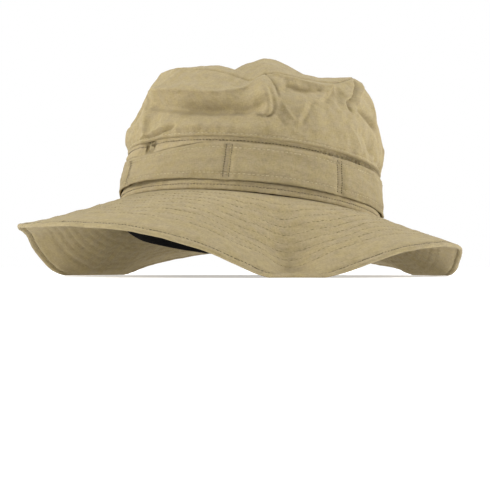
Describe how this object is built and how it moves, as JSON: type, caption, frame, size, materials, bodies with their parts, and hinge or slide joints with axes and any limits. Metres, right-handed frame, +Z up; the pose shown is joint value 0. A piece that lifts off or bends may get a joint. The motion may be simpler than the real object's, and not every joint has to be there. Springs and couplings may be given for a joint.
{
  "type": "trekking hat",
  "caption": "Soft cloth sun hat with a dented crown, a wide raised band with stitched bars, and a quilted, waved brim that lies on its own rim.",
  "frame": {"origin": "on the floor under the middle of the whole hat's box", "axes": "+X to the right as the front is seen, +Y away from the viewer, +Z up"},
  "size_m": [0.3206, 0.3326, 0.1608],
  "materials": {
    "crown_cloth": "plain woven khaki cotton, soft creases",
    "band_cloth": "the same khaki cotton, laid double and topstitched",
    "brim_cloth": "khaki cotton, stiffened and quilted in rows",
    "sweatband_cloth": "black brushed knit"
  },
  "bodies": {
    "root": {"crown_base": "crown_cloth", "crown_side": "crown_cloth", "crown_tip": "crown_cloth", "hat_band": "band_cloth", "brim": "brim_cloth", "sweatband": "sweatband_cloth"}
  },
  "joints": []
}
